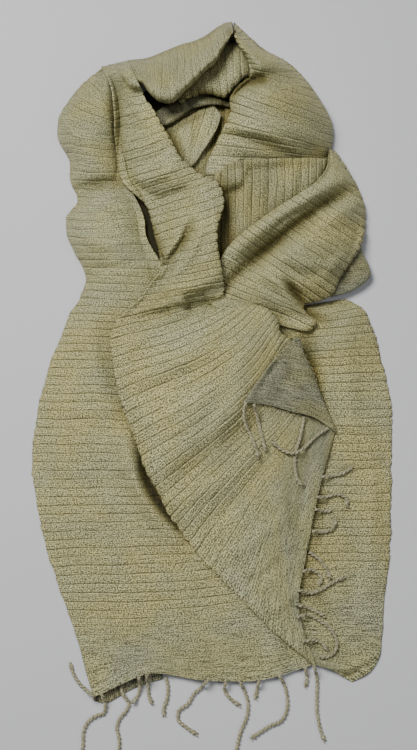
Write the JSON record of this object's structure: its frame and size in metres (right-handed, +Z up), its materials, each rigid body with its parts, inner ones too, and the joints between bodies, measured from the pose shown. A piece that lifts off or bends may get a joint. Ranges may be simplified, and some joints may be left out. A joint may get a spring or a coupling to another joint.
{
  "type": "folded silk scarf",
  "caption": "Crinkled silk scarf with twisted fringes, dropped in a loose heap with both tails spread out flat.",
  "frame": {"origin": "middle of the outline, on the surface that the scarf lies on", "axes": "+Z up; +Y from the fringed hem to the heap; +X to the right as seen from the hem's side"},
  "size_m": [0.3517, 0.7811, 0.0702],
  "materials": {
    "crinkled_silk": "ribbed and crinkled silk, soft sheen",
    "plain_silk": "plain weave, soft sheen",
    "twisted_silk": "two-ply twisted cord, matt",
    "hidden_silk": "hidden layers of the same cloth"
  },
  "bodies": {
    "root": {"back_plate": "crinkled_silk", "corner_flap": "plain_silk", "diagonal_roll": "crinkled_silk", "fringe_corner": "twisted_silk", "fringe_lower": "twisted_silk", "fringe_upper": "twisted_silk", "hidden_layers": "hidden_silk", "inner_band": "plain_silk", "inner_roll": "crinkled_silk", "left_tail": "crinkled_silk", "right_crown": "crinkled_silk", "right_panel": "crinkled_silk", "side_corner": "plain_silk", "top_band": "crinkled_silk", "turned_hem": "plain_silk", "upper_tail": "crinkled_silk", "window_floor": "crinkled_silk", "window_leaf": "crinkled_silk"}
  },
  "joints": []
}
